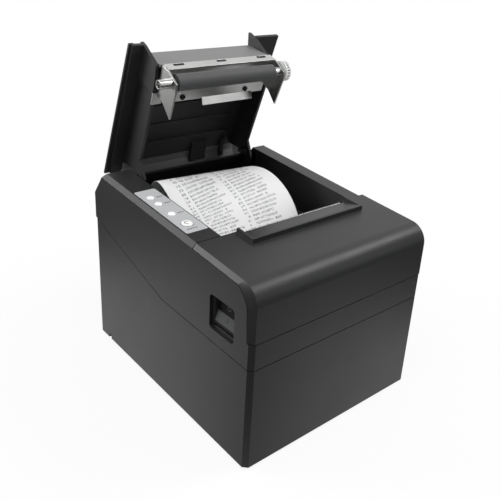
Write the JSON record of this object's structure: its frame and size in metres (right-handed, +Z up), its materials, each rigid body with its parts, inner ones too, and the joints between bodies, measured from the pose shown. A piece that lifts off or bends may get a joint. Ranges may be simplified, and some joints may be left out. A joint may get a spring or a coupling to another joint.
{
  "type": "receipt printer",
  "caption": "Desktop thermal receipt printer with a hinged lid standing open over the paper roll, a platen unit in the lid, a tear-off exit and a lamp panel.",
  "frame": {"origin": "on the floor under the middle of the printer's bounding box with the lid open as in the picture, 9.5 mm behind the middle of the case", "axes": "+X to the printer's right, -Y towards the paper exit and the user, +Z up"},
  "size_m": [0.145, 0.1966, 0.2213],
  "materials": {
    "dark_plastic": "satin textured injection-moulded housing",
    "black_plastic": "smooth black moulding",
    "grey_plastic": "grey moulding",
    "panel_grey": "pale grey matt overlay",
    "white_plastic": "white moulding",
    "lens_clear": "milky lamp lens",
    "sheet_steel": "zinc-plated sheet steel",
    "bright_steel": "ground bright steel",
    "platen_rubber": "ground rubber",
    "foot_rubber": "moulded rubber",
    "paper_white": "coated thermal paper",
    "core_card": "wound card",
    "board_green": "solder mask on laminate",
    "heat_sink": "extruded aluminium",
    "ceramic_head": "glazed ceramic",
    "brass_gear": "turned brass"
  },
  "bodies": {
    "case": {"lower_case": "dark_plastic", "upper_case": "dark_plastic", "front_cover": "dark_plastic", "tear_bar": "bright_steel", "led_panel": "panel_grey", "led_lenses": "lens_clear", "panel_board": "board_green", "feed_switch": "black_plastic", "switch_housing": "black_plastic", "paper_web": "paper_white", "paper_well": "black_plastic", "mechanism_frame": "sheet_steel", "print_head": "ceramic_head", "head_heatsink": "heat_sink", "head_spring": "bright_steel", "stepper_motor": "sheet_steel", "cutter_frame": "sheet_steel", "cutter_motor": "sheet_steel", "main_board": "board_green", "board_components": "black_plastic", "power_inlet": "black_plastic", "data_socket": "sheet_steel", "drawer_socket": "black_plastic", "serial_socket": "sheet_steel", "hinge_pins": "bright_steel", "case_screws": "bright_steel", "rubber_feet": "foot_rubber"},
    "lid": {"lid_cover": "black_plastic", "hinge_cover": "dark_plastic", "lid_liner": "black_plastic", "lid_frame": "dark_plastic", "lid_nose": "black_plastic", "paper_chute": "grey_plastic", "platen_bracket": "sheet_steel", "bracket_screws": "bright_steel", "platen_bushes": "bright_steel"},
    "platen": {"platen_shaft": "bright_steel", "platen_rubber": "platen_rubber", "platen_gear": "white_plastic"},
    "roll": {"paper_roll": "paper_white", "roll_core": "core_card"},
    "feed_button": {"feed_button": "white_plastic"},
    "power_rocker": {"power_rocker": "black_plastic"},
    "drive_gear": {"drive_gear": "white_plastic"},
    "motor_pinion": {"motor_pinion": "brass_gear"},
    "cutter_blade": {"cutter_blade": "bright_steel"},
    "cutter_pinion": {"cutter_pinion": "brass_gear"}
  },
  "joints": [
    {"name": "lid_hinge", "type": "hinge", "parent": "case", "child": "lid", "pos_m": [0, 0.0723, 0.1052], "axis": [1, 0, 0], "range_deg": [0, 73.8], "deforming": ["paper_web"]},
    {"name": "platen_spin", "type": "hinge", "parent": "lid", "child": "platen", "pos_m": [0, 0.02994, 0.19911], "axis": [1, 0, 0], "continuous": true},
    {"name": "roll_spin", "type": "hinge", "parent": "case", "child": "roll", "pos_m": [0, 0.035, 0.0779], "axis": [1, 0, 0], "continuous": true},
    {"name": "feed_press", "type": "slide", "parent": "case", "child": "feed_button", "axis": [0, 0.0758, -0.9971], "range_m": [0, 0.0008], "stiffness_N_per_m": 800, "springref_m": -0.0004},
    {"name": "power_rock", "type": "hinge", "parent": "case", "child": "power_rocker", "pos_m": [-0.064, -0.0711, 0.09045], "axis": [0, 1, 0], "range_deg": [-20, 0]},
    {"name": "drive_spin", "type": "hinge", "parent": "case", "child": "drive_gear", "pos_m": [0, -0.04389, 0.07824], "axis": [1, 0, 0], "continuous": true},
    {"name": "motor_spin", "type": "hinge", "parent": "case", "child": "motor_pinion", "pos_m": [0, -0.05958, 0.07375], "axis": [1, 0, 0], "continuous": true},
    {"name": "cutter_slide", "type": "slide", "parent": "case", "child": "cutter_blade", "axis": [0, 1, 0], "range_m": [0, 0.0095]},
    {"name": "cutter_spin", "type": "hinge", "parent": "case", "child": "cutter_pinion", "pos_m": [-0.028, -0.0575, 0.1], "axis": [0, 0, 1], "range_deg": [-1, 115]}
  ],
  "couplings": [
    {"joint": "motor_spin", "follows": "drive_spin", "ratio": -2},
    {"joint": "cutter_spin", "follows": "cutter_slide", "rad_per_m": 208.33}
  ]
}
